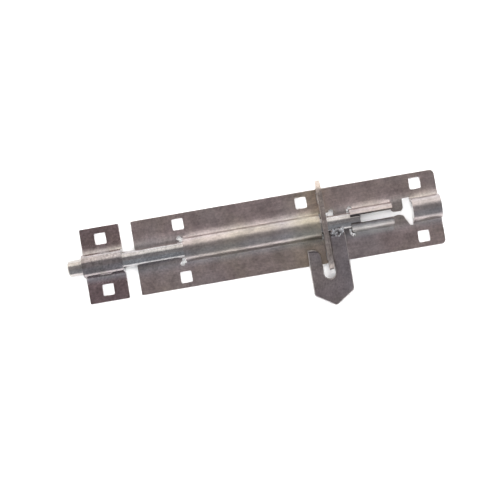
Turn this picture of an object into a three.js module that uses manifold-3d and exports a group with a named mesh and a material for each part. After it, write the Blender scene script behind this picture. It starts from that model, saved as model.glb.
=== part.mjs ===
// Barrel bolt (padbolt) with a separate keep, in millimetres.
//
// The back plate is one sheet pressing: its barrel, its pair of guide lips and its tail loop are all
// arches pushed up out of the flat sheet, open at the back. A round bolt runs through them. A hooked flat
// handle is welded to the bolt, and its hook drops over an upright locking plate, which takes a padlock.
//
// The origin is on the mounting face, straight below the bolt's axis, NOSE_LAND in from the nose edge of
// the back plate. +X runs from the keep to the tail, +Y is away from the handle, and +Z points out of the
// door.
import * as THREE from "three";
import { mergeVertices } from "three/addons/utils/BufferGeometryUtils.js";
import Module from "manifold-3d";

const wasm = await Module();
wasm.setup();

// ---- Sheet metal section
const SHEET = 2; // thickness of both pressings
const GAP = 0.3; // clearance between neighbouring pieces
const BOLT_RADIUS = 5.35;
const BOLT_LIFT = 0.35; // from the top of the flat sheet to the underside of the bolt
const AXIS_Z = SHEET + BOLT_LIFT + BOLT_RADIUS; // height of the bolt's axis over the mounting face
const ARCH_INNER = BOLT_RADIUS + GAP;
const ARCH_OUTER = ARCH_INNER + SHEET;
const FOOT_FILLET = 2.05; // inside radius of the bend from an arch into the flat sheet
const FOOT = ARCH_OUTER + FOOT_FILLET; // where the bend meets the flat, from the centre line

// ---- Back plate
const NOSE_LAND = 14;
const PLATE_LENGTH = 203;
const PLATE = {
  nose: -NOSE_LAND,
  tail: PLATE_LENGTH - NOSE_LAND,
  halfWidth: 24.7,
  noseRadius: 0.8,
  tailRadius: 3,
};
const BARREL = { from: 18.9, to: 109.4 };
const LIPS = { from: 129.3, to: 157.1, opening: 6.7 };
const LOOP = { from: 170.2, to: PLATE.tail };
const SLIT = 3; // cut across the sheet at the nose end of the barrel
const SLIT_REACH = 8.55; // half length of each cross cut, to the middle of its relief holes
const SLIT_TOP = SHEET + 0.5; // the cross cuts also notch the foot of each bend, up to here
const RELIEF_RADIUS = 1.6;
const RELIEF_TOP = SHEET + 1.3;
const CLEARANCE_SLOT = { from: BARREL.to, to: 119.4, relief: 117.7 }; // the locking plate stands in it
const LIPS_SLIT = { from: 128, relief: 130.3 };
const NECK = {
  from: LIPS.to, // two flat tongues face each other between the lips and the tail opening
  to: 165.1,
  gap: 2.4, // between the tongues
  corner: 2.6, // corners of the +Y tongue
  round: 2.4, // height of the -Y tongue's round end
};
const TAIL_OPENING = { to: LOOP.from, halfWidth: 9.3, slant: 2.8 };

// ---- Square holes for coach bolts
const HOLE = { side: 7.6, radius: 0.9 };
const PLATE_HOLE_Y = 17.7;
const PLATE_HOLES = [
  [16.8, PLATE_HOLE_Y],
  [99.4, PLATE_HOLE_Y],
  [175.5, PLATE_HOLE_Y],
  [16.8, -PLATE_HOLE_Y],
  [175.5, -PLATE_HOLE_Y],
];
const KEEP_HOLE_Y = 17.1;

// ---- Keep plate
const KEEP = { from: -48.6, to: -22.2, halfWidth: 25, radius: 0.8 };

// ---- Bolt
const BOLT = { tip: -58.6, tail: 135.8, chamfer: 1.1 };

// ---- Locking plate, upright across the bolt, with two tabs riveted through the sheet
const LOCK = {
  from: 110.4,
  thickness: 3.1,
  halfWidth: 29.5,
  bottom: SHEET + GAP,
  top: 21.5,
  hole: 4.5, // radius of the two padlock holes
  holeY: 19.9,
  tabY: 19.2,
  tabWidth: 6.4,
};
const TAB_GAP = 0.3; // between a tab and the slot it stands in
const TAB_SLOT = {
  from: LOCK.from - TAB_GAP,
  to: LOCK.from + LOCK.thickness + TAB_GAP,
  length: 7.4,
};

// ---- Hooked handle, a flat J: an arm, a slot for the locking plate's ear, and a prong
const HANDLE = {
  thickness: 3,
  tilt: 6, // degrees below level with the hook down
  left: 98,
  right: 124.6,
  prongRight: 106.5,
  armLeft: 114.2,
  armStart: ARCH_INNER, // distances from the bolt's axis
  prongTip: 14.4,
  slotEnd: 35.1,
  shoulder: 43.6,
  point: 53.4,
  tipFlat: 3.4, // flat end of the prong, and the length of its round side
  tipRound: 4.85,
  shoulderRadius: 1.6,
  pointRadius: 1.2,
};
// Four run-together drops. length, depth and height are half sizes, and out and up place them.
const WELD = { runs: 4, pitch: 1.95, length: 1.95, depth: 4.1, height: 2.7, out: 4.7, up: 1.9 };

const ARC_STEPS = 12; // straight steps in each arc of an outline
const HOLE_STEPS = 24; // straight steps round a relief hole
const DROP_STEPS = { round: 16, high: 12 };
const ROUND_STEPS = 40; // straight steps round a turned piece
const THROUGH = 1; // how far a cut runs out past the face it opens
const LAP = 0.5; // how far joined parts of one piece run into each other

// ---- Helpers
function solid(geometry) {
  const bare = geometry.index ? geometry.toNonIndexed() : geometry.clone();
  bare.deleteAttribute("normal");
  bare.deleteAttribute("uv");
  const merged = mergeVertices(bare, 1e-4);
  const mesh = new wasm.Mesh({
    numProp: 3,
    vertProperties: merged.attributes.position.array,
    triVerts: new Uint32Array(merged.index.array),
  });
  return new wasm.Manifold(mesh);
}

function geometryOf(body) {
  const mesh = body.getMesh();
  const geometry = new THREE.BufferGeometry();
  geometry.setAttribute("position", new THREE.BufferAttribute(mesh.vertProperties, 3));
  geometry.setIndex(new THREE.BufferAttribute(mesh.triVerts, 1));
  const faceted = geometry.toNonIndexed();
  faceted.computeVertexNormals();
  return faceted;
}

// An outline in plan, raised from z = bottom to z = top.
function raised(shape, bottom, top) {
  const geometry = new THREE.ExtrudeGeometry(shape, {
    depth: top - bottom,
    bevelEnabled: false,
    curveSegments: ARC_STEPS,
  });
  return geometry.translate(0, 0, bottom);
}

// A cross-section in (y, z), run along X.
const ACROSS = new THREE.Matrix4().makeBasis(
  new THREE.Vector3(0, 1, 0),
  new THREE.Vector3(0, 0, 1),
  new THREE.Vector3(1, 0, 0),
);
function along(section, from, to) {
  const geometry = raised(section, from, to);
  return geometry.applyMatrix4(ACROSS);
}

function block(x0, x1, y0, y1, z0, z1) {
  const box = new THREE.BoxGeometry(x1 - x0, y1 - y0, z1 - z0);
  return box.translate((x0 + x1) / 2, (y0 + y1) / 2, (z0 + z1) / 2);
}

function post(x, y, radius, z0, z1) {
  const cylinder = new THREE.CylinderGeometry(radius, radius, z1 - z0, HOLE_STEPS);
  return cylinder.rotateX(Math.PI / 2).translate(x, y, (z0 + z1) / 2);
}

// A rod along X with its axis through (y, z).
function bar(x0, x1, y, z, radius) {
  const cylinder = new THREE.CylinderGeometry(radius, radius, x1 - x0, ROUND_STEPS);
  return cylinder.rotateZ(Math.PI / 2).translate((x0 + x1) / 2, y, z);
}

// A rectangle whose left pair and right pair of corners are rounded separately.
function plateOutline(x0, x1, halfWidth, leftRadius, rightRadius) {
  const shape = new THREE.Shape();
  shape.moveTo(x0 + leftRadius, -halfWidth);
  shape.lineTo(x1 - rightRadius, -halfWidth);
  shape.absarc(x1 - rightRadius, -halfWidth + rightRadius, rightRadius, -Math.PI / 2, 0);
  shape.lineTo(x1, halfWidth - rightRadius);
  shape.absarc(x1 - rightRadius, halfWidth - rightRadius, rightRadius, 0, Math.PI / 2);
  shape.lineTo(x0 + leftRadius, halfWidth);
  shape.absarc(x0 + leftRadius, halfWidth - leftRadius, leftRadius, Math.PI / 2, Math.PI);
  shape.lineTo(x0, -halfWidth + leftRadius);
  shape.absarc(x0 + leftRadius, -halfWidth + leftRadius, leftRadius, Math.PI, 1.5 * Math.PI);
  return shape;
}

function squareHole(x, y) {
  const half = HOLE.side / 2;
  const outline = plateOutline(x - half, x + half, half, HOLE.radius, HOLE.radius);
  return raised(outline, -THROUGH, SHEET + THROUGH).translate(0, y, 0);
}

// The arch: up out of the flat by a bend, over the bolt, and down again, one sheet thick all round.
function archSection() {
  const bend = SHEET + FOOT_FILLET; // the bend's outside radius, and the height of its centre
  const shape = new THREE.Shape();
  shape.moveTo(-FOOT - LAP, 0);
  shape.lineTo(-FOOT, 0);
  shape.absarc(-FOOT, bend, bend, -Math.PI / 2, 0, false);
  shape.lineTo(-ARCH_INNER, AXIS_Z);
  shape.absarc(0, AXIS_Z, ARCH_INNER, Math.PI, 0, true);
  shape.lineTo(ARCH_INNER, bend);
  shape.absarc(FOOT, bend, bend, Math.PI, 1.5 * Math.PI, false);
  shape.lineTo(FOOT + LAP, 0);
  shape.lineTo(FOOT + LAP, SHEET);
  shape.lineTo(FOOT, SHEET);
  shape.absarc(FOOT, bend, FOOT_FILLET, 1.5 * Math.PI, Math.PI, true);
  shape.lineTo(ARCH_OUTER, AXIS_Z);
  shape.absarc(0, AXIS_Z, ARCH_OUTER, 0, Math.PI, false);
  shape.lineTo(-ARCH_OUTER, bend);
  shape.absarc(-FOOT, bend, FOOT_FILLET, 0, -Math.PI / 2, true);
  shape.lineTo(-FOOT - LAP, SHEET);
  return shape;
}

// The flat sheet loses the strip that each arch is pressed from.
function withArch(sheet, arch) {
  const strip = solid(block(arch.from, arch.to, -FOOT, FOOT, -THROUGH, SHEET + THROUGH));
  return sheet.subtract(strip).add(solid(along(archSection(), arch.from, arch.to)));
}

// A cut across the sheet, with a round relief hole at each end of it.
function crossSlit(sheet, from, to, reliefX) {
  let cut = sheet.subtract(solid(block(from, to, -SLIT_REACH, SLIT_REACH, -THROUGH, SLIT_TOP)));
  for (const side of [-1, 1]) {
    const relief = post(reliefX, side * SLIT_REACH, RELIEF_RADIUS, -THROUGH, RELIEF_TOP);
    cut = cut.subtract(solid(relief));
  }
  return cut;
}

// ---- Back plate
// The gap between the neck's two tongues and the opening in front of the tail loop, as one outline.
// The +Y tongue is square with round corners. The -Y tongue has a round end and slants to the loop.
function tailOpening() {
  const { from, to, gap, corner, round } = NECK;
  const tongue = gap / 2;
  const shape = new THREE.Shape();
  shape.moveTo(from - THROUGH, tongue + corner);
  shape.lineTo(from, tongue + corner);
  shape.absarc(from + corner, tongue + corner, corner, Math.PI, 1.5 * Math.PI);
  shape.absarc(to - corner, tongue + corner, corner, 1.5 * Math.PI, 2 * Math.PI);
  shape.lineTo(to, TAIL_OPENING.halfWidth);
  shape.lineTo(TAIL_OPENING.to, TAIL_OPENING.halfWidth);
  shape.lineTo(TAIL_OPENING.to, -TAIL_OPENING.halfWidth);
  shape.lineTo(to + TAIL_OPENING.slant, -TAIL_OPENING.halfWidth);
  shape.lineTo(to, -tongue - round);
  shape.absellipse((from + to) / 2, -tongue - round, (to - from) / 2, round, 0, Math.PI);
  shape.lineTo(from - THROUGH, -tongue - round);
  return raised(shape, -THROUGH, SHEET + THROUGH);
}

function backPlate() {
  const outline = plateOutline(
    PLATE.nose, PLATE.tail, PLATE.halfWidth, PLATE.noseRadius, PLATE.tailRadius,
  );
  let body = solid(raised(outline, 0, SHEET));
  for (const [x, y] of PLATE_HOLES) {
    body = body.subtract(solid(squareHole(x, y)));
  }
  for (const arch of [BARREL, LIPS, LOOP]) {
    body = withArch(body, arch);
  }
  body = crossSlit(body, BARREL.from - SLIT, BARREL.from, BARREL.from - SLIT);
  body = crossSlit(body, CLEARANCE_SLOT.from, CLEARANCE_SLOT.to, CLEARANCE_SLOT.relief);
  body = crossSlit(body, LIPS_SLIT.from, LIPS.from, LIPS_SLIT.relief);
  body = body.subtract(solid(tailOpening()));
  const half = LIPS.opening / 2;
  const overLips = AXIS_Z + 2 * ARCH_OUTER;
  const lipsOpening = block(LIPS.from - THROUGH, LIPS.to + THROUGH, -half, half, AXIS_Z, overLips);
  body = body.subtract(solid(lipsOpening));
  const reach = TAB_SLOT.length / 2;
  for (const y of [-LOCK.tabY, LOCK.tabY]) {
    const slot = block(TAB_SLOT.from, TAB_SLOT.to, y - reach, y + reach, -THROUGH, SHEET + THROUGH);
    body = body.subtract(solid(slot));
  }
  return geometryOf(body);
}

// ---- Keep plate
function keepPlate() {
  const outline = plateOutline(KEEP.from, KEEP.to, KEEP.halfWidth, KEEP.radius, KEEP.radius);
  let body = solid(raised(outline, 0, SHEET));
  for (const side of [-1, 1]) {
    body = body.subtract(solid(squareHole((KEEP.from + KEEP.to) / 2, side * KEEP_HOLE_Y)));
  }
  return geometryOf(withArch(body, KEEP));
}

// ---- Bolt: turned along X, chamfered at the tip and just broken at the tail edge
function bolt() {
  const tailBreak = 0.3;
  const profile = [
    new THREE.Vector2(0, BOLT.tip),
    new THREE.Vector2(BOLT_RADIUS - BOLT.chamfer, BOLT.tip),
    new THREE.Vector2(BOLT_RADIUS, BOLT.tip + BOLT.chamfer),
    new THREE.Vector2(BOLT_RADIUS, BOLT.tail - tailBreak),
    new THREE.Vector2(BOLT_RADIUS - tailBreak, BOLT.tail),
    new THREE.Vector2(0, BOLT.tail),
  ];
  const geometry = new THREE.LatheGeometry(profile, ROUND_STEPS);
  return geometryOf(solid(geometry.rotateZ(-Math.PI / 2).translate(0, 0, AXIS_Z)));
}

// ---- Locking plate: two round ears, the bolt's hole, a padlock hole in each ear, and two tabs
function lockingPlate() {
  const { from, thickness, halfWidth, bottom, top } = LOCK;
  const end = (top - bottom) / 2;
  const middle = (top + bottom) / 2;
  const face = new THREE.Shape();
  face.moveTo(-halfWidth + end, bottom);
  face.lineTo(halfWidth - end, bottom);
  face.absarc(halfWidth - end, middle, end, -Math.PI / 2, Math.PI / 2);
  face.lineTo(-halfWidth + end, top);
  face.absarc(-halfWidth + end, middle, end, Math.PI / 2, 1.5 * Math.PI);
  let body = solid(along(face, from, from + thickness));
  const x0 = from - THROUGH;
  const x1 = from + thickness + THROUGH;
  body = body.subtract(solid(bar(x0, x1, 0, AXIS_Z, ARCH_INNER)));
  const reach = LOCK.tabWidth / 2;
  for (const side of [-1, 1]) {
    const y = side * LOCK.tabY;
    body = body.subtract(solid(bar(x0, x1, side * LOCK.holeY, middle, LOCK.hole)));
    body = body.add(solid(block(from, from + thickness, y - reach, y + reach, GAP, bottom + LAP)));
  }
  return geometryOf(body);
}

// ---- Handle, drawn with y = minus the distance from the bolt's axis
function handleOutline() {
  const h = HANDLE;
  const middle = (h.left + h.right) / 2;
  const slotRadius = (h.armLeft - h.prongRight) / 2;
  const slotMiddle = (h.armLeft + h.prongRight) / 2;
  const r = h.shoulderRadius;
  const p = h.pointRadius;
  const slope = (h.point - h.shoulder) / (h.right - middle);
  const shape = new THREE.Shape();
  shape.moveTo(h.armLeft, -h.armStart);
  shape.lineTo(h.armLeft, -h.slotEnd + slotRadius);
  shape.absarc(slotMiddle, -h.slotEnd + slotRadius, slotRadius, 0, -Math.PI, true);
  shape.lineTo(h.prongRight, -h.prongTip - h.tipRound);
  shape.quadraticCurveTo(h.prongRight, -h.prongTip, h.left + h.tipFlat, -h.prongTip);
  shape.lineTo(h.left, -h.prongTip);
  shape.lineTo(h.left, -h.shoulder + r);
  shape.quadraticCurveTo(h.left, -h.shoulder, h.left + r, -h.shoulder - slope * r);
  shape.lineTo(middle - p, -h.point + slope * p);
  shape.quadraticCurveTo(middle, -h.point, middle + p, -h.point + slope * p);
  shape.lineTo(h.right - r, -h.shoulder - slope * r);
  shape.quadraticCurveTo(h.right, -h.shoulder, h.right, -h.shoulder + r);
  shape.lineTo(h.right, -h.armStart);
  return shape;
}

function handle() {
  return geometryOf(solid(raised(handleOutline(), -HANDLE.thickness / 2, HANDLE.thickness / 2)));
}

// ---- Weld bead: a row of run-together drops on the arm's inner end, against the side of the bolt
function handleWeld() {
  const middle = (HANDLE.armLeft + HANDLE.right) / 2;
  const first = middle - ((WELD.runs - 1) / 2) * WELD.pitch;
  let body = null;
  for (let run = 0; run < WELD.runs; run += 1) {
    const drop = new THREE.SphereGeometry(1, DROP_STEPS.round, DROP_STEPS.high);
    drop.scale(WELD.length, WELD.depth, WELD.height);
    drop.translate(first + run * WELD.pitch, -WELD.out, WELD.up);
    body = body ? body.add(solid(drop)) : solid(drop);
  }
  const reach = 20; // past every side of the bead
  const armTop = HANDLE.thickness / 2 + GAP;
  body = body.subtract(solid(bar(middle - reach, middle + reach, 0, 0, BOLT_RADIUS + GAP)));
  body = body.subtract(solid(block(middle - reach, middle + reach, -reach, reach, -reach, armTop)));
  return geometryOf(body);
}

// ---- Materials: bright zinc plating, each piece with its own tone
const FLAT_ZINC = { color: 0x8a8284, roughness: 0.34, metalness: 0.95 };
const ROD_ZINC = { color: 0xc9c5bb, roughness: 0.3, metalness: 0.95 };
const LOCK_ZINC = { color: 0xa49a92, roughness: 0.38, metalness: 0.95 };
const HANDLE_ZINC = { color: 0x6f6668, roughness: 0.4, metalness: 0.95 };
const WELD_METAL = { color: 0xb9babc, roughness: 0.45, metalness: 0.9 };

function piece(name, geometry, finish) {
  const mesh = new THREE.Mesh(geometry, new THREE.MeshStandardMaterial(finish));
  mesh.name = name;
  return mesh;
}

// ---- Assembly
const padbolt = new THREE.Group();
padbolt.add(piece("back_plate", backPlate(), FLAT_ZINC));
padbolt.add(piece("keep_plate", keepPlate(), FLAT_ZINC));
padbolt.add(piece("bolt_rod", bolt(), ROD_ZINC));
padbolt.add(piece("locking_plate", lockingPlate(), LOCK_ZINC));

const lever = new THREE.Group(); // turns about the bolt's axis
lever.position.set(0, 0, AXIS_Z);
lever.rotation.x = THREE.MathUtils.degToRad(HANDLE.tilt);
lever.add(piece("handle", handle(), HANDLE_ZINC));
lever.add(piece("handle_weld", handleWeld(), WELD_METAL));
padbolt.add(lever);

export default padbolt;
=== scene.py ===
"""Barrel bolt (padbolt) in bright zinc-plated steel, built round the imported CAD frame.

Each visible piece is modelled in millimetres in the part's own frame and scaled to metres once it is
finished.
X runs from the keep to the tail, -Y is the handle's side, and Z points away from the mounting face.
"""
import math

import bmesh
import bpy
from mathutils import Euler, Matrix, Vector, noise


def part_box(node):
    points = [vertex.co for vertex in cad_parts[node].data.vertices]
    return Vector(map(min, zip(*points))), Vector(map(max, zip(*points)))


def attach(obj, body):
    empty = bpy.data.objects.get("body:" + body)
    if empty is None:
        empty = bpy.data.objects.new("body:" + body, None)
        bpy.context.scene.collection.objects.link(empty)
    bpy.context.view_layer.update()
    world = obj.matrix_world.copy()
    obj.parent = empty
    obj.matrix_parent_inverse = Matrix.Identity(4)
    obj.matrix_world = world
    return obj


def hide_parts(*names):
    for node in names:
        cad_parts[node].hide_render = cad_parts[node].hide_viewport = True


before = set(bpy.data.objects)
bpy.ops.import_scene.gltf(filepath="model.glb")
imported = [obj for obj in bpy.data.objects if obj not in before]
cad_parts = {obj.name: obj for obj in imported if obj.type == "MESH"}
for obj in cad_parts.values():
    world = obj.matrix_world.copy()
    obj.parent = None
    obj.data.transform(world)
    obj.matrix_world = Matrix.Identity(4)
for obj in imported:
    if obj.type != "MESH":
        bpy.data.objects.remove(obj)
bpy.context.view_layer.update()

MM = 0.001


def span(node):
    """Lowest and highest corner of a CAD node, in millimetres."""
    low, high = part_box(node)
    return low / MM, high / MM


# ---- Driving sizes, read from the frame where it holds them
plate_low, plate_high = span("back_plate")
keep_low, keep_high = span("keep_plate")
bolt_low, bolt_high = span("bolt_rod")
lock_low, lock_high = span("locking_plate")
handle_low, handle_high = span("handle")

# The bolt and the arches
BOLT_RADIUS = (bolt_high.z - bolt_low.z) / 2
AXIS_Z = (bolt_high.z + bolt_low.z) / 2
SHEET = 2.0
ARCH_OUTER = plate_high.z - AXIS_Z
ARCH_MIDDLE = ARCH_OUTER - SHEET / 2
ARCH_INNER = ARCH_OUTER - SHEET
FOOT_FILLET = 2.05
FOOT = ARCH_OUTER + FOOT_FILLET
BARREL = (18.9, 109.4)
LIPS = (129.3, 157.1)
LIPS_OPENING = 6.7
LOOP = (170.2, plate_high.x)

# Cross cuts at the ends of the arches, with a round relief hole at each end of a cut
SLIT_REACH = 8.55
SLIT_TOP = SHEET + 0.5
RELIEF_RADIUS = 1.6
RELIEF_TOP = SHEET + 1.3
NOSE_SLIT = 3.0
LOCK_SLOT_END = 119.4
LOCK_SLOT_LAP = 0.2
LIPS_SLIT = 1.3
LIPS_RELIEF = 1.0

# Neck and tail opening
NECK_END = 165.1
NECK_GAP = 2.4
TONGUE_CORNER = 2.6
TONGUE_ROUND = 2.4
TAIL_OPENING_HALF = 9.3
TAIL_OPENING_SLANT = 2.8

# Holes, slots and corners of the two sheets
HOLE_SIDE = 7.6
HOLE_CORNER = 0.9
PLATE_HOLE_Y = 17.7
PLATE_HOLES_X = (16.8, 99.4, 175.5)
KEEP_HOLE_Y = 17.1
SHEARED_CORNER = 0.8
TAIL_CORNER = 3.0
TAB_GAP = 0.3
TAB_SLOT_PLAY = 0.5

# Locking plate
LOCK_CLEARANCE = 0.3
LOCK_HOLE_RADIUS = 4.5
LOCK_HOLE_Y = 19.9
TAB_Y = 19.2
TAB_WIDTH = 6.4
TAB_LAP = 1.2

# Handle
HANDLE_TILT = math.radians(6)
HANDLE_THICKNESS = 3.0
PRONG_RIGHT = 106.5
ARM_LEFT = 114.2
SLOT_END = 35.1
PRONG_TIP = 14.4
SHOULDER = 43.6
POINT = 53.4

THROUGH = 1.0  # how far a cutter reaches past what it cuts
FULL_TURN = 360.0
# the straw tint there is a painted reflection of the locking plate in the back plate
LOCK_GLOW_X = 104.0  # middle of the straw tint on the back plate


# ---- Mesh helpers
def new_object(name, bm):
    bmesh.ops.recalc_face_normals(bm, faces=bm.faces)
    mesh = bpy.data.meshes.new(name)
    bm.to_mesh(mesh)
    bm.free()
    obj = bpy.data.objects.new(name, mesh)
    bpy.context.scene.collection.objects.link(obj)
    return obj


def remove(obj):
    mesh = obj.data
    bpy.data.objects.remove(obj)
    bpy.data.meshes.remove(mesh)


def loft(name, sections):
    """A closed solid through loops of points that all have the same count, capped at both ends."""
    bm = bmesh.new()
    rings = [[bm.verts.new(point) for point in section] for section in sections]
    count = len(rings[0])
    for here, there in zip(rings, rings[1:]):
        for i in range(count):
            j = (i + 1) % count
            bm.faces.new((here[i], here[j], there[j], there[i]))
    bm.faces.new(rings[0][::-1])
    bm.faces.new(rings[-1])
    return new_object(name, bm)


def prism(name, outline, low, high):
    return loft(name, [[(x, y, z) for x, y in outline] for z in (low, high)])


def block(low, high):
    (x0, y0, z0), (x1, y1, z1) = low, high
    return prism("cutter", [(x0, y0), (x1, y0), (x1, y1), (x0, y1)], z0, z1)


def arc(centre, radius, start, end, steps):
    """Points on an arc, both ends included. The angles are in degrees."""
    points = []
    for i in range(steps + 1):
        angle = math.radians(start + (end - start) * i / steps)
        points.append((centre[0] + radius * math.cos(angle), centre[1] + radius * math.sin(angle)))
    return points


def circle(centre, radius, steps):
    return arc(centre, radius, 0, FULL_TURN * (steps - 1) / steps, steps - 1)


def rounded_box(x0, x1, y0, y1, left, right, steps=8):
    """A rectangle with one corner radius at its left end and another at its right end."""
    return (
        arc((x1 - right, y0 + right), right, -90, 0, steps)
        + arc((x1 - right, y1 - right), right, 0, 90, steps)
        + arc((x0 + left, y1 - left), left, 90, 180, steps)
        + arc((x0 + left, y0 + left), left, 180, 270, steps)
    )


def turned(name, profile, steps=96):
    """A solid turned about the bolt's axis. The profile is (x, radius), starting and ending on the axis."""
    bm = bmesh.new()
    rings = []
    for x, radius in profile:
        if radius == 0:
            rings.append([bm.verts.new((x, 0, AXIS_Z))])
            continue
        ring = []
        for i in range(steps):
            angle = 2 * math.pi * i / steps
            y, z = radius * math.cos(angle), radius * math.sin(angle)
            ring.append(bm.verts.new((x, y, AXIS_Z + z)))
        rings.append(ring)
    for here, there in zip(rings, rings[1:]):
        for i in range(steps):
            j = (i + 1) % steps
            if len(here) == 1:
                bm.faces.new((here[0], there[i], there[j]))
            elif len(there) == 1:
                bm.faces.new((here[i], here[j], there[0]))
            else:
                bm.faces.new((here[i], here[j], there[j], there[i]))
    return new_object(name, bm)


def apply_modifiers(obj):
    bpy.context.view_layer.update()
    graph = bpy.context.evaluated_depsgraph_get()
    mesh = bpy.data.meshes.new_from_object(obj.evaluated_get(graph))
    old = obj.data
    obj.modifiers.clear()
    obj.data = mesh
    mesh.name = obj.name
    bpy.data.meshes.remove(old)


def combine(obj, other, operation):
    """A boolean of two solids. It uses the second one up."""
    modifier = obj.modifiers.new("combine", "BOOLEAN")
    modifier.operation = operation
    modifier.solver = "EXACT"
    modifier.object = other
    apply_modifiers(obj)
    remove(other)


def cut(obj, cutter):
    combine(obj, cutter, "DIFFERENCE")


def weld_on(obj, other):
    combine(obj, other, "UNION")


def soften(obj, width, segments=3):
    """Rounds every sharp edge, as shearing, plating and handling leave it."""
    speck, flat, sharp = 0.004, math.radians(0.6), math.radians(32)
    bm = bmesh.new()
    bm.from_mesh(obj.data)
    bmesh.ops.remove_doubles(bm, verts=bm.verts, dist=speck)
    bmesh.ops.dissolve_degenerate(bm, edges=bm.edges, dist=speck)
    bmesh.ops.dissolve_limit(bm, angle_limit=flat, verts=bm.verts, edges=bm.edges)
    bm.to_mesh(obj.data)
    bm.free()
    bevel = obj.modifiers.new("soften", "BEVEL")
    bevel.width = width
    bevel.segments = segments
    bevel.limit_method = "ANGLE"
    bevel.angle_limit = sharp
    bevel.miter_outer = "MITER_ARC"
    apply_modifiers(obj)


def smooth(obj, angle=38):
    for polygon in obj.data.polygons:
        polygon.use_smooth = True
    obj.data.set_sharp_from_angle(angle=math.radians(angle))
    weighted = obj.modifiers.new("weighted", "WEIGHTED_NORMAL")
    weighted.keep_sharp = True
    apply_modifiers(obj)


def place(obj, node, body, material):
    """Scales a finished piece to metres and lets it stand for its CAD node."""
    obj.data.transform(Matrix.Scale(MM, 4))
    obj.data.materials.clear()
    obj.data.materials.append(material)
    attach(obj, body)
    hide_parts(node)


# ---- Sheet metal arches
LAP = 0.5  # how far an arch reaches into the flat sheet round it
SWELL_RUN = 3.0  # stretch over which the sheet swells up before the tight bend
SWELL = 20.0  # slope that it swells up to, in degrees
TAPER = 6.0  # stretch over which the swelling dies away at the end of an arch
RUN_OUT = 6.5  # stretch over which a lip runs out at the neck
RUN_OUT_SLOPE = {-1: 50.0, 1: 22.0}  # slope at that end of each lip, in degrees
RUN_OUT_NARROWING = 1.8  # how much shorter the swelling is there
SWELL_STEPS, BEND_STEPS, CROWN_STEPS = 7, 10, 24
TAPER_STEPS = 8
RUN_OUT_STEPS = 10


def sheet_cutter(outline):
    return prism("cutter", outline, -THROUGH, SHEET + THROUGH)


def arch_path(until=90.0, swell=0.0, run=SWELL_RUN):
    """One side of an arch's middle line, from the flat sheet to the crown: points (y, z) and their normals.
    The sheet swells up to the slope swell, in degrees, over the stretch run before the tight bend."""
    bend = FOOT_FILLET + SHEET / 2
    slope = math.radians(swell)
    far, near = FOOT + run, FOOT - bend * math.sin(slope)
    rise = math.tan(slope) * (far - near) / 2
    path = [((far + LAP, SHEET / 2), (0.0, 1.0))]
    for i in range(SWELL_STEPS + 1):
        share = i / SWELL_STEPS
        angle = math.atan(math.tan(slope) * share)
        point = (far + (near - far) * share, SHEET / 2 + rise * share * share)
        path.append((point, (math.sin(angle), math.cos(angle))))
    centre_z = SHEET / 2 + rise + bend * math.cos(slope)
    for i in range(1, BEND_STEPS + 1):
        angle = slope + (math.pi / 2 - slope) * i / BEND_STEPS
        point = (FOOT - bend * math.sin(angle), centre_z - bend * math.cos(angle))
        path.append((point, (math.sin(angle), math.cos(angle))))
    for i in range(CROWN_STEPS + 1):
        angle = math.radians(until * i / CROWN_STEPS)
        normal = (math.cos(angle), math.sin(angle))
        path.append(((ARCH_MIDDLE * normal[0], AXIS_Z + ARCH_MIDDLE * normal[1]), normal))
    return path


def eased(share):
    """A smooth step from 0 to 1."""
    t = min(max(share, 0.0), 1.0)
    return t * t * (3 - 2 * t)


def sheet_loop(path, x):
    """The closed section, one sheet thick, that follows a path of the middle line at x."""
    outer = [(x, y + ny * SHEET / 2, z + nz * SHEET / 2) for (y, z), (ny, nz) in path]
    inner = [(x, y - ny * SHEET / 2, z - nz * SHEET / 2) for (y, z), (ny, nz) in path]
    return outer + inner[::-1]


def mirrored(path):
    return [((-y, z), (-ny, nz)) for (y, z), (ny, nz) in path]


def arch(name, x0, x1, taper_start=True, taper_end=True):
    """A whole arch. At a tapered end its swelling dies away, so it meets the flat sheet there."""
    offsets = [TAPER * i / TAPER_STEPS for i in range(TAPER_STEPS + 1)]
    places = sorted({x0 + offset for offset in offsets} | {x1 - offset for offset in offsets})
    sections = []
    for x in places:
        share = 1.0
        if taper_start:
            share = min(share, eased((x - x0) / TAPER))
        if taper_end:
            share = min(share, eased((x1 - x) / TAPER))
        side = arch_path(swell=SWELL * share)
        sections.append(sheet_loop(side + mirrored(side)[-2::-1], x))
    return loft(name, sections)


def lip(side):
    """One of the two guide lips. Its wall eases into the flat sheet where it runs out at the neck."""
    reach = math.degrees(math.acos(LIPS_OPENING / 2 / ARCH_OUTER))
    start, end = LIPS
    shares = [i / RUN_OUT_STEPS for i in range(1, RUN_OUT_STEPS + 1)]
    stations = [(start, 0.0)]
    stations += [(start + RUN_OUT * share, SWELL * eased(share)) for share in shares]
    for share in shares:
        slope = SWELL + (RUN_OUT_SLOPE[side] - SWELL) * eased(share)
        stations.append((end - RUN_OUT * (1 - share), slope))
    sections = []
    for x, slope in stations:
        run = SWELL_RUN - RUN_OUT_NARROWING * eased((x - end + RUN_OUT) / RUN_OUT)
        path = arch_path(until=reach, swell=slope, run=run)
        if side < 0:
            path = mirrored(path)
        sections.append(sheet_loop(path, x))
    return loft("lip", sections)


def lips_strip():
    """The strip of flat sheet that the two lips are pressed from."""
    start, end = LIPS
    edge = [(start, FOOT + SWELL_RUN)]
    for i in range(RUN_OUT_STEPS + 1):
        share = i / RUN_OUT_STEPS
        edge.append((end - RUN_OUT * (1 - share), FOOT + SWELL_RUN - RUN_OUT_NARROWING * eased(share)))
    return sheet_cutter(edge + [(x, -y) for x, y in edge[::-1]])


def square_hole(x, y):
    half = HOLE_SIDE / 2
    return sheet_cutter(rounded_box(x - half, x + half, y - half, y + half, HOLE_CORNER, HOLE_CORNER, 6))


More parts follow.
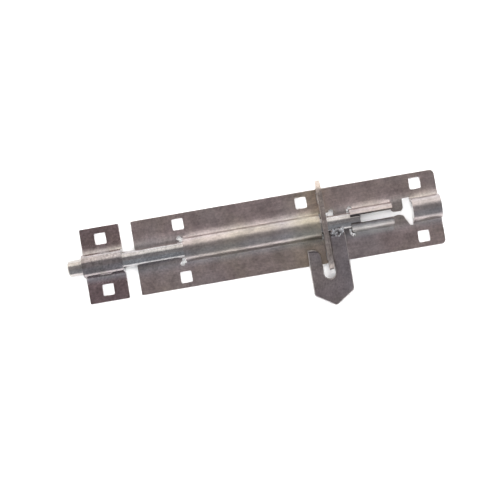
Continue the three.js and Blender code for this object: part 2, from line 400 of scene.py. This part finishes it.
def across_sheet(x0, x1, half_y, top=SHEET + THROUGH):
    """A cutter across the middle of a sheet."""
    return block((x0, -half_y, -THROUGH), (x1, half_y, top))


def cross_slit(obj, x0, x1, relief_x):
    cut(obj, across_sheet(x0, x1, SLIT_REACH, SLIT_TOP))
    for side in (-1, 1):
        outline = circle((relief_x, side * SLIT_REACH), RELIEF_RADIUS, 48)
        cut(obj, prism("cutter", outline, -THROUGH, RELIEF_TOP))


def ellipse(centre, half_x, half_y, start, end, steps):
    return [
        (centre[0] + half_x * (x - centre[0]), centre[1] + half_y * (y - centre[1]))
        for x, y in arc(centre, 1.0, start, end, steps)
    ]


def tail_opening():
    """The gap between the neck's two tongues and the opening in front of the tail loop, as one outline."""
    start, end, tongue = LIPS[1], NECK_END, NECK_GAP / 2
    centre_y = tongue + TONGUE_CORNER
    draft, foot_chamfer = 0.15, (1.2, 0.5)
    points = [(start - THROUGH, centre_y)]
    points += arc((start + TONGUE_CORNER, centre_y), TONGUE_CORNER, 180, 270, 10)
    points += arc((end - TONGUE_CORNER, centre_y), TONGUE_CORNER, 270, 360, 10)
    points += [
        (end + draft, TAIL_OPENING_HALF),
        (LOOP[0], TAIL_OPENING_HALF),
        (LOOP[0], -TAIL_OPENING_HALF),
        (end + TAIL_OPENING_SLANT + foot_chamfer[0], -TAIL_OPENING_HALF),
        (end + TAIL_OPENING_SLANT, -TAIL_OPENING_HALF + foot_chamfer[1]),
    ]
    round_y = -tongue - TONGUE_ROUND
    points += ellipse(((start + end) / 2, round_y), (end - start) / 2, TONGUE_ROUND, 0, 180, 20)
    points.append((start - THROUGH, round_y))
    return sheet_cutter(points)


def make_back_plate():
    x0, x1 = plate_low.x, plate_high.x
    outline = rounded_box(x0, x1, plate_low.y, plate_high.y, SHEARED_CORNER, TAIL_CORNER, 12)
    plate = prism("back_plate_sheet", outline, 0, SHEET)
    for x in PLATE_HOLES_X:
        cut(plate, square_hole(x, PLATE_HOLE_Y))
    for x in (PLATE_HOLES_X[0], PLATE_HOLES_X[-1]):
        cut(plate, square_hole(x, -PLATE_HOLE_Y))
    reach = FOOT + SWELL_RUN
    cut(plate, across_sheet(*BARREL, reach))
    cut(plate, across_sheet(LOOP[0], LOOP[1] + THROUGH, reach))
    cut(plate, lips_strip())
    weld_on(plate, arch("barrel", *BARREL))
    weld_on(plate, arch("loop", *LOOP, taper_end=False))
    for side in (-1, 1):
        weld_on(plate, lip(side))
    nose_slit_start = BARREL[0] - NOSE_SLIT
    cross_slit(plate, nose_slit_start, BARREL[0], nose_slit_start)
    cross_slit(plate, BARREL[1], LOCK_SLOT_END, LOCK_SLOT_END - RELIEF_RADIUS + LOCK_SLOT_LAP)
    cross_slit(plate, LIPS[0] - LIPS_SLIT, LIPS[0], LIPS[0] + LIPS_RELIEF)
    cut(plate, tail_opening())
    tab_reach = TAB_WIDTH / 2 + TAB_SLOT_PLAY
    for side in (-1, 1):
        y = side * TAB_Y
        slot_low = (lock_low.x - TAB_GAP, y - tab_reach, -THROUGH)
        slot_high = (lock_high.x + TAB_GAP, y + tab_reach, SHEET + THROUGH)
        cut(plate, block(slot_low, slot_high))
    soften(plate, 0.22)
    smooth(plate)
    return plate


def make_keep():
    x0, x1 = keep_low.x, keep_high.x
    outline = rounded_box(x0, x1, keep_low.y, keep_high.y, SHEARED_CORNER, SHEARED_CORNER)
    keep = prism("keep_sheet", outline, 0, SHEET)
    for side in (-1, 1):
        cut(keep, square_hole((x0 + x1) / 2, side * KEEP_HOLE_Y))
    cut(keep, across_sheet(x0 - THROUGH, x1 + THROUGH, FOOT + SWELL_RUN))
    weld_on(keep, arch("keep_arch", x0, x1, taper_start=False, taper_end=False))
    soften(keep, 0.28)
    smooth(keep)
    return keep


# ---- Bolt
def make_bolt():
    """The round bar, with a worn chamfer at the tip and a small one at the tail."""
    x0, x1, r = bolt_low.x, bolt_high.x, BOLT_RADIUS
    chamfer = 1.1
    inner = r - chamfer
    profile = [
        (x0, 0),
        (x0, inner - 0.35),
        (x0 + 0.1, inner - 0.08),
        (x0 + 0.32, inner + 0.25),
        (x0 + chamfer - 0.3, r - 0.24),
        (x0 + chamfer, r - 0.06),
        (x0 + chamfer + 0.4, r),
    ]
    stretches = 40
    for i in range(1, stretches):
        profile.append((x0 + (x1 - x0) * i / stretches, r))
    profile += [(x1 - 0.5, r), (x1 - 0.15, r - 0.1), (x1, r - 0.4), (x1, 0)]
    bolt = turned("bolt_bar", profile)
    smooth(bolt, 50)
    return bolt


# ---- Locking plate
def make_locking_plate():
    x0, x1 = lock_low.x, lock_high.x
    end = (lock_high.z - (SHEET + LOCK_CLEARANCE)) / 2
    middle = lock_high.z - end
    straight = lock_high.y - end

    def along_bolt(name, face, reach=0.0):
        return loft(name, [[(x, y, z) for y, z in face] for x in (x0 - reach, x1 + reach)])

    outline = arc((straight, middle), end, -90, 90, 40) + arc((-straight, middle), end, 90, 270, 40)
    plate = along_bolt("locking_plate_ears", outline)
    cut(plate, along_bolt("cutter", circle((0, AXIS_Z), ARCH_INNER, 64), THROUGH))
    for side in (-1, 1):
        hole = circle((side * LOCK_HOLE_Y, middle), LOCK_HOLE_RADIUS, 64)
        cut(plate, along_bolt("cutter", hole, THROUGH))
    soften(plate, 1.1, 6)
    for side in (-1, 1):
        y = side * TAB_Y
        tab_low = (x0, y - TAB_WIDTH / 2, LOCK_CLEARANCE)
        weld_on(plate, block(tab_low, (x1, y + TAB_WIDTH / 2, SHEET + TAB_LAP)))
    smooth(plate)
    return plate


# ---- Handle: a flat J, drawn with y as minus the distance from the bolt's axis
def handle_outline():
    left, right = handle_low.x, handle_high.x
    middle = (left + right) / 2
    slot_radius = (ARM_LEFT - PRONG_RIGHT) / 2
    slot_x = (ARM_LEFT + PRONG_RIGHT) / 2
    slope = (POINT - SHOULDER) / (right - middle)
    turn = math.degrees(math.atan(slope))
    arm_top = -BOLT_RADIUS + 0.4
    points = [(ARM_LEFT, arm_top)]
    points += arc((slot_x, -SLOT_END + slot_radius), slot_radius, 0, -180, 24)

    tip_flat, tip_corner, tip_stretch = 3.0, 0.5, 1.15
    tip_width = PRONG_RIGHT - left - tip_flat
    tip_steps = 12
    for i in range(tip_steps + 1):
        angle = math.radians(90 * i / tip_steps)
        drop = tip_width * tip_stretch * (1 - math.sin(angle))
        points.append((left + tip_flat + tip_width * math.cos(angle), -PRONG_TIP - drop))
    points += arc((left + tip_corner, -PRONG_TIP - tip_corner), tip_corner, 90, 180, 4)

    shoulder_radius, point_radius, let_down = 2.2, 1.9, 0.2
    shoulder_y = -SHOULDER + shoulder_radius * math.tan(math.radians(turn / 2)) * let_down
    point_y = -POINT + point_radius / math.cos(math.radians(turn))
    points += arc((left + shoulder_radius, shoulder_y), shoulder_radius, 180, 270 - turn, 8)
    points += arc((middle, point_y), point_radius, 270 - turn, 270 + turn, 10)
    points += arc((right - shoulder_radius, shoulder_y), shoulder_radius, -90 + turn, 0, 8)
    points.append((right, arm_top))
    return points


def swing_down(obj):
    """Lays a piece drawn flat round the bolt's axis to where the handle rests."""
    obj.data.transform(Matrix.Translation((0, 0, AXIS_Z)) @ Matrix.Rotation(HANDLE_TILT, 4, "X"))


def make_handle():
    half = HANDLE_THICKNESS / 2
    handle = prism("handle_blank", handle_outline(), -half, half)
    mesh = handle.data
    weights = mesh.attributes.new("bevel_weight_edge", "FLOAT", "EDGE")
    widest_roll, rolled_top, rolled_bottom, tip_reach = 1.3, 0.7, 0.3, 0.6
    for edge in mesh.edges:
        a, b = (mesh.vertices[i].co for i in edge.vertices)
        if a.z != b.z:
            continue
        at_prong_tip = min(a.y, b.y) > -PRONG_TIP - tip_reach and max(a.x, b.x) < PRONG_RIGHT
        share = rolled_top if a.z > 0 else rolled_bottom
        weights.data[edge.index].value = 1.0 if at_prong_tip and a.z > 0 else share
    bevel = handle.modifiers.new("rolled", "BEVEL")
    bevel.width = widest_roll
    bevel.segments = 5
    bevel.limit_method = "WEIGHT"
    bevel.use_clamp_overlap = False
    apply_modifiers(handle)
    swing_down(handle)
    smooth(handle)
    return handle


def make_weld():
    """A short bead in the corner between the bolt and the arm, run in drops that froze unevenly.
    Each drop is a centre, as seen from the bolt's axis, and three radii."""
    middle = (ARM_LEFT + handle_high.x) / 2
    runs, pitch = 5, 1.75
    drops = []
    for i in range(runs):
        x = middle + (i - (runs - 1) / 2) * pitch
        sway = math.sin(i * 2.3 + 0.6)
        rise = 0.3 * math.cos(i * 1.9)
        drops.append(((x, -4.5 - 0.35 * sway, 1.8 + rise), (1.5, 2.8 + 0.35 * sway, 2.3)))
        drops.append(((x + 0.5, -2.9 - 0.5 * sway, 3.6), (1.0, 1.5, 1.1)))
    drops += [
        ((ARM_LEFT + 1.4, -7.9, 1.6), (0.8, 1.1, 0.7)),
        ((middle + 0.6, -8.2, 1.5), (0.9, 0.9, 0.6)),
        ((handle_high.x - 1.9, -7.6, 1.6), (0.8, 1.0, 0.7)),
        ((ARM_LEFT + 3.6, -7.4, 1.9), (1.1, 0.8, 0.8)),
    ]
    bm = bmesh.new()
    for centre, radii in drops:
        matrix = Matrix.Translation(centre) @ Matrix.Diagonal((*radii, 1))
        bmesh.ops.create_icosphere(bm, subdivisions=4, radius=1, matrix=matrix)
    weld = new_object("weld_bead", bm)
    remesh = weld.modifiers.new("run_together", "REMESH")
    remesh.mode = "VOXEL"
    remesh.voxel_size = 0.2
    relax = weld.modifiers.new("relax", "SMOOTH")
    relax.factor = 0.5
    relax.iterations = 3
    apply_modifiers(weld)
    mesh = weld.data
    mesh.update()
    for vertex in mesh.vertices:
        p = vertex.co
        lump = noise.noise(p * 0.55) * 0.5 + noise.noise(p * 1.3) * 0.22
        vertex.co = p + vertex.normal * lump
    swing_down(weld)
    smooth(weld, 180)
    return weld


# ---- Materials
# Noise that is packed this tightly along each axis draws lines along the axis with the small number.
ALONG_X = (45.0, 1900.0, 1900.0)
ALONG_Y = (1900.0, 45.0, 1900.0)
SCRATCHED = (45.0, 2100.0, 2100.0)


class Nodes:
    """A small helper to lay out a procedural material."""

    def __init__(self, name, metallic):
        self.material = bpy.data.materials.new(name)
        self.material.use_nodes = True
        self.tree = self.material.node_tree
        self.shader = self.tree.nodes["Principled BSDF"]
        self.shader.inputs["Metallic"].default_value = metallic
        where = self.add("ShaderNodeTexCoord")
        self.place, self.facing = where.outputs["Object"], where.outputs["Normal"]

    def add(self, kind, inputs=None, **settings):
        node = self.tree.nodes.new(kind)
        for key, value in settings.items():
            setattr(node, key, value)
        for key, value in (inputs or {}).items():
            self.feed(node.inputs[key], value)
        return node

    def feed(self, socket, value):
        if isinstance(value, bpy.types.NodeSocket):
            self.tree.links.new(value, socket)
        else:
            socket.default_value = value

    def part_of(self, vector, axis):
        return self.add("ShaderNodeSeparateXYZ", {"Vector": vector}).outputs[axis]

    def size_of(self, value):
        return self.math("ABSOLUTE", value, 0)

    def stretched(self, scale, turn=(0, 0, 0)):
        turned_first = self.add("ShaderNodeMapping", {"Vector": self.place, "Rotation": turn})
        inputs = {"Vector": turned_first.outputs["Vector"], "Scale": scale}
        return self.add("ShaderNodeMapping", inputs).outputs["Vector"]

    def moved(self, by):
        return self.add("ShaderNodeMapping", {"Vector": self.place, "Location": by}).outputs["Vector"]

    def cells(self, scale):
        inputs = {"Vector": self.place, "Scale": scale}
        return self.add("ShaderNodeTexVoronoi", inputs).outputs["Distance"]

    def grey(self, value):
        inputs = {"Red": value, "Green": value, "Blue": value}
        return self.add("ShaderNodeCombineColor", inputs).outputs["Color"]

    def noise(self, scale, detail, rough, vector=None, distortion=0.0):
        inputs = {
            "Vector": vector or self.place,
            "Scale": scale,
            "Detail": detail,
            "Roughness": rough,
            "Distortion": distortion,
        }
        return self.add("ShaderNodeTexNoise", inputs).outputs["Fac"]

    def ramp(self, fac, low, high, at_low=0.0, at_high=1.0):
        inputs = {"Value": fac, "From Min": low, "From Max": high, "To Min": at_low, "To Max": at_high}
        return self.add("ShaderNodeMapRange", inputs, clamp=True).outputs["Result"]

    def math(self, operation, a, b):
        return self.add("ShaderNodeMath", {0: a, 1: b}, operation=operation).outputs[0]

    def times(self, a, b):
        return self.math("MULTIPLY", a, b)

    def tinted(self, colour, tint):
        return self.mix(1.0, colour, tint, "MULTIPLY")

    def mix(self, fac, a, b, blend="MIX"):
        node = self.add("ShaderNodeMix", data_type="RGBA", blend_type=blend)
        self.feed(node.inputs["Factor"], fac)
        self.feed(node.inputs["A"], a)
        self.feed(node.inputs["B"], b)
        return next(o for o in node.outputs if o.type == "RGBA")

    def bump(self, height, strength, distance, under=None):
        inputs = {"Height": height, "Strength": strength, "Distance": distance}
        if under is not None:
            inputs["Normal"] = under
        return self.add("ShaderNodeBump", inputs).outputs["Normal"]


def paint_flat_reflection_and_fold_sheen(n, colour, tint):
    """Tints a sheet away from its arch with a painted reflection, the reddish cast it mirrors from
    overhead, and paints it paler and bluer in the fold as a painted sheen. Gives the colour and how much
    each point belongs to the folds."""
    wall, foot, fold_middle = 7.0 * MM, 8.5 * MM, 9.5 * MM
    open_sheet, fold_end = 12.5 * MM, 15.0 * MM
    across = n.size_of(n.part_of(n.place, "Y"))
    # painted reflection: the flat sheet takes the reddish cast it mirrors from overhead
    colour = n.mix(n.ramp(across, foot, open_sheet), colour, n.tinted(colour, (*tint, 1)))
    fold = n.times(n.ramp(across, fold_end, fold_middle), n.ramp(across, wall, foot))
    # painted sheen: the fold band is painted paler and bluer
    return n.mix(n.times(fold, 0.6), colour, n.tinted(colour, (1.55, 1.6, 1.64, 1))), fold


def painted_edge_highlight(n, colour, flat_axis, clouds):
    """Paints a patchy pale highlight on the rounded edges of a bar that is flat along one axis."""
    turned = n.size_of(n.part_of(n.facing, flat_axis))
    edge = n.times(n.ramp(turned, 0.985, 0.9), n.ramp(turned, 0.12, 0.3))
    edge = n.times(edge, n.ramp(clouds, 0.35, 0.6, 0.45, 1.0))
    # painted highlight: pale colour on the rounded edges, in patches
    return n.mix(n.times(edge, 0.8), colour, (0.68, 0.645, 0.62, 1))


def painted_up_face_shade(n, colour):
    """Paints a patchy brown shade on the faces that look along Z, such as the top edge: painted shade for
    the dark overhead they mirror.
    """
    crown = n.ramp(n.size_of(n.part_of(n.facing, "Z")), 0.9, 0.98)
    crown = n.times(crown, n.ramp(n.noise(420, 3, 0.6), 0.42, 0.55, 0.35, 1.0))
    # painted shade on the faces that look along Z
    return n.mix(n.times(crown, 0.6), colour, (0.2, 0.165, 0.16, 1))


def painted_lock_glow(n, colour, at, patches):
    """Paints a faint straw glow round a place along X beside the locking plate: a painted reflection of
    that plate in the sheet.
    """
    full, gone = 4 * MM, 19 * MM
    off = n.size_of(n.math("SUBTRACT", n.part_of(n.place, "X"), at))
    straw = n.times(n.ramp(off, gone, full), n.ramp(patches, 0.4, 0.6, 0.5, 1.0))
    # painted reflection of the locking plate
    return n.mix(straw, colour, n.tinted(colour, (1.12, 1.12, 0.96, 1)))


def lip_wear(n, colour, clouds):
    """Rubs the -Y lip pale, as the handle does. Gives the colour and how worn each point is."""
    middle, half_length = (LIPS[0] + LIPS[1]) / 2 * MM, (LIPS[1] - LIPS[0]) / 2 * MM
    fade = 1.0 * MM
    top_edge, top_worn = -3.6 * MM, -4.6 * MM
    foot_worn, foot_edge = -9.8 * MM, -11.2 * MM
    along, across = n.part_of(n.place, "X"), n.part_of(n.place, "Y")
    off = n.size_of(n.math("SUBTRACT", along, middle))
    worn = n.ramp(off, half_length + fade, half_length - fade)
    worn = n.times(worn, n.ramp(across, top_edge, top_worn))
    worn = n.times(worn, n.ramp(across, foot_edge, foot_worn))
    worn = n.times(worn, n.ramp(clouds, 0.35, 0.6, 0.35, 1.0))
    return n.mix(n.times(worn, 0.75), colour, (0.72, 0.705, 0.665, 1)), worn


def zinc(name, base, rough, grain, drawn, mottle, line_tone=0.1,
         flat_reflection_tint=None, edge_highlight_axis=None, lock_glow_and_lip_wear=False, up_face_shade=False):
    """Bright zinc plate over rolled steel: drifting tone with olive, violet and blue casts, a fine mottle,
    drawn lines along one axis, odd scratches and pits. base is a colour, rough is (low, high), and drawn
    stretches the lines. flats is a painted reflection tint for a sheet away from its arch, with a painted
    sheen in its folds. rubbed names the flat axis of a bar whose rounded edges get a painted highlight.
    lock_glow_and_lip_wear adds a painted reflection of the locking plate beside it and the worn lip, and
    grimy adds painted shade on the faces that look along Z."""
    n = Nodes(name, metallic=1.0)
    clouds = n.noise(95, 5, 0.6)
    patches = n.noise(31, 3, 0.5, distortion=0.7)
    casts = n.noise(23, 2, 0.5, n.moved((0.31, 0.17, 0.05)))
    fine = n.noise(750, 3, 0.6)
    lines = n.noise(1.0, 5, 0.6, n.stretched(drawn))

    olive, violet, blue = (1.0, 0.985, 0.92, 1), (1.01, 0.97, 0.985, 1), (0.96, 0.98, 1.02, 1)
    cast = n.mix(n.ramp(patches, 0.42, 0.66), violet, olive)
    cast = n.mix(n.ramp(casts, 0.48, 0.68), cast, blue)
    streaks = n.ramp(lines, 0.3, 0.7, 1 - line_tone, 1 + line_tone)
    tone = n.times(n.ramp(clouds, 0.3, 0.7, 0.78, 1.2), streaks)
    tone = n.times(tone, n.ramp(fine, 0.3, 0.7, 1 - mottle, 1 + mottle))
    colour = n.tinted(n.tinted((*base, 1), cast), n.grey(tone))

    wear = n.math("ADD", n.times(fine, 0.4), n.times(patches, 0.6))
    gloss = n.ramp(wear, 0.38, 0.62, rough[0], rough[1])
    if flat_reflection_tint:
        colour, fold = paint_flat_reflection_and_fold_sheen(n, colour, flat_reflection_tint)
        gloss = n.math("ADD", gloss, n.times(fold, 0.2))
    if edge_highlight_axis:
        colour = painted_edge_highlight(n, colour, edge_highlight_axis, clouds)
    if up_face_shade:
        colour = painted_up_face_shade(n, colour)
    # a painted reflection beside the locking plate, and real wear on the lip
    if lock_glow_and_lip_wear:
        colour = painted_lock_glow(n, colour, LOCK_GLOW_X * MM, patches)
        colour, worn = lip_wear(n, colour, clouds)
        gloss = n.math("ADD", gloss, n.times(worn, 0.16))

    scratches = n.ramp(n.noise(1.0, 2, 0.5, n.stretched(SCRATCHED, (0, 0, 0.5))), 0.72, 0.76)
    scratches = n.times(scratches, n.ramp(clouds, 0.5, 0.6))
    colour = n.mix(n.times(scratches, 0.35), colour, (0.82, 0.80, 0.78, 1))
    pits = n.ramp(n.cells(420), 0.09, 0.03)
    colour = n.mix(n.times(pits, 0.5), colour, (0.16, 0.14, 0.13, 1))
    n.feed(n.shader.inputs["Base Color"], colour)
    n.feed(n.shader.inputs["Roughness"], n.math("SUBTRACT", gloss, n.times(scratches, 0.1)))

    height = n.math("SUBTRACT", lines, n.math("ADD", n.times(scratches, 0.5), pits))
    close = n.bump(height, grain, 0.02 * MM)
    wavy = n.bump(n.noise(38, 2, 0.5), 0.45, 0.5 * MM, close)
    n.feed(n.shader.inputs["Normal"], n.bump(fine, 0.08, 0.05 * MM, wavy))
    return n.material


def weld_metal():
    """Frozen steel with a scaly skin: smooth crests painted bright as a painted highlight, hollows painted
    dark as painted shade and soot.
    """
    n = Nodes("weld_metal", metallic=1.0)
    crust_and_glints = n.noise(380, 5, 0.65)
    soot = n.noise(700, 3, 0.6)
    # painted highlight on the crests of the bumps, painted shade and soot in their hollows
    colour = n.mix(n.ramp(crust_and_glints, 0.4, 0.56), (0.17, 0.165, 0.17, 1), (0.85, 0.85, 0.86, 1))
    colour = n.mix(n.ramp(soot, 0.55, 0.7, 0.0, 0.5), colour, (0.2, 0.18, 0.17, 1))
    n.feed(n.shader.inputs["Base Color"], colour)
    n.feed(n.shader.inputs["Roughness"], n.ramp(crust_and_glints, 0.35, 0.65, 0.42, 0.16))
    first = n.bump(crust_and_glints, 0.5, 0.1 * MM)
    n.feed(n.shader.inputs["Normal"], n.bump(n.cells(1100), 0.3, 0.06 * MM, first))
    return n.material


plate_zinc = zinc(
    "plate_zinc", (0.41, 0.375, 0.367), (0.28, 0.38), 0.2, ALONG_X, 0.2,
    # painted reflection tint for the flat sheet; a painted reflection glow beside the locking plate and
    # real lip wear
    flat_reflection_tint=(1.04, 0.96, 0.96), lock_glow_and_lip_wear=True,
)
keep_zinc = zinc(
    "keep_zinc", (0.33, 0.305, 0.305), (0.14, 0.24), 0.25, ALONG_X, 0.28,
    # painted reflection tint for the flat sheet
    flat_reflection_tint=(0.90, 0.76, 0.78),
)
rod_zinc = zinc("rod_zinc", (0.405, 0.39, 0.38), (0.15, 0.25), 0.3, ALONG_X, 0.14, 0.16)
locking_zinc = zinc(
    "locking_zinc", (0.53, 0.475, 0.455), (0.36, 0.52), 0.3, ALONG_Y, 0.2, 0.3,
    # painted highlight on the rounded edges and painted shade on the faces that look along Z
    edge_highlight_axis="X", up_face_shade=True,
)
# painted highlight on the handle's rounded edges
handle_zinc = zinc("handle_zinc", (0.35, 0.31, 0.315), (0.28, 0.4), 0.2, ALONG_Y, 0.22, edge_highlight_axis="Z")
bead_metal = weld_metal()

# ---- Pieces
place(make_back_plate(), "back_plate", "plate", plate_zinc)
place(make_keep(), "keep_plate", "plate", keep_zinc)
place(make_bolt(), "bolt_rod", "bolt", rod_zinc)
place(make_locking_plate(), "locking_plate", "plate", locking_zinc)
place(make_handle(), "handle", "lever", handle_zinc)
place(make_weld(), "handle_weld", "lever", bead_metal)

# ---- Floor, light and camera
FLOOR_GAP = 0.2 * MM
FLOOR_SIZE = 4.0
MIDDLE_X = 0.08


def make_floor():
    bm = bmesh.new()
    bmesh.ops.create_grid(bm, x_segments=1, y_segments=1, size=FLOOR_SIZE)
    floor = new_object("floor", bm)
    floor.location = (MIDDLE_X, 0, -FLOOR_GAP)
    n = Nodes("floor_white", metallic=0.0)
    tone = n.noise(3.0, 2, 0.5)
    n.feed(n.shader.inputs["Base Color"], n.mix(tone, (0.90, 0.90, 0.90, 1), (0.93, 0.93, 0.93, 1)))
    n.shader.inputs["Roughness"].default_value = 0.9
    n.shader.inputs["Specular IOR Level"].default_value = 0.1
    floor.data.materials.append(n.material)


def area_light(name, place_at, size, watts):
    """A square lamp aimed at the object's middle. It lights the floor but isn't mirrored in the metal."""
    data = bpy.data.lights.new(name, "AREA")
    data.size = size
    data.energy = watts
    lamp = bpy.data.objects.new(name, data)
    lamp.location = place_at
    aim = Vector((MIDDLE_X, 0, 0)) - Vector(place_at)
    lamp.rotation_euler = aim.to_track_quat("-Z", "Y").to_euler()
    lamp.visible_glossy = False
    bpy.context.scene.collection.objects.link(lamp)


def make_world():
    """A studio that is dark overhead, bright along the whole +Y side and pale round the horizon."""
    world = bpy.data.worlds.new("studio")
    world.use_nodes = True
    tree = world.node_tree
    background = tree.nodes["Background"]
    direction = tree.nodes.new("ShaderNodeTexCoord").outputs["Generated"]
    split = tree.nodes.new("ShaderNodeSeparateXYZ")
    tree.links.new(direction, split.inputs[0])

    def layer(under, axis, start, full, colour):
        """Lays a colour over what is under it, fading in along one axis of the direction looked in."""
        step = tree.nodes.new("ShaderNodeMapRange")
        step.interpolation_type = "SMOOTHSTEP"
        step.inputs["From Min"].default_value = start
        step.inputs["From Max"].default_value = full
        tree.links.new(split.outputs[axis], step.inputs["Value"])
        mix = tree.nodes.new("ShaderNodeMix")
        mix.data_type = "RGBA"
        tree.links.new(step.outputs["Result"], mix.inputs["Factor"])
        below, above = [socket for socket in mix.inputs if socket.type == "RGBA"]
        if isinstance(under, bpy.types.NodeSocket):
            tree.links.new(under, below)
        else:
            below.default_value = under
        above.default_value = colour
        return next(socket for socket in mix.outputs if socket.type == "RGBA")

    sky = layer((0.41, 0.395, 0.40, 1), "Y", -0.1, -0.6, (0.42, 0.44, 0.475, 1))
    sky = layer(sky, "Z", 0.15, 0.0, (0.80, 0.82, 0.84, 1))
    sky = layer(sky, "Y", 0.44, 0.74, (1.72, 1.66, 1.57, 1))
    tree.links.new(sky, background.inputs["Color"])
    bpy.context.scene.world = world


def make_camera():
    data = bpy.data.cameras.new("camera")
    data.sensor_width = 36.0
    data.lens = 90.7
    camera = bpy.data.objects.new("camera", data)
    camera.location = (0.0789, -0.0573, 0.8313)
    camera.rotation_euler = Euler([math.radians(a) for a in (3.19, 1.79, -9.74)], "XYZ")
    bpy.context.scene.collection.objects.link(camera)
    bpy.context.scene.camera = camera


make_floor()
make_world()
make_camera()
for side in (-1, 1):
    area_light("side", (MIDDLE_X + 1.15 * side, 0, 0.97), 0.5, 13)
    area_light("end", (MIDDLE_X, 0.8 * side, 1.25), 0.4, 5.5)
area_light("above", (MIDDLE_X, 0, 1.5), 0.5, 6.5)
bpy.context.scene.view_settings.view_transform = "Standard"
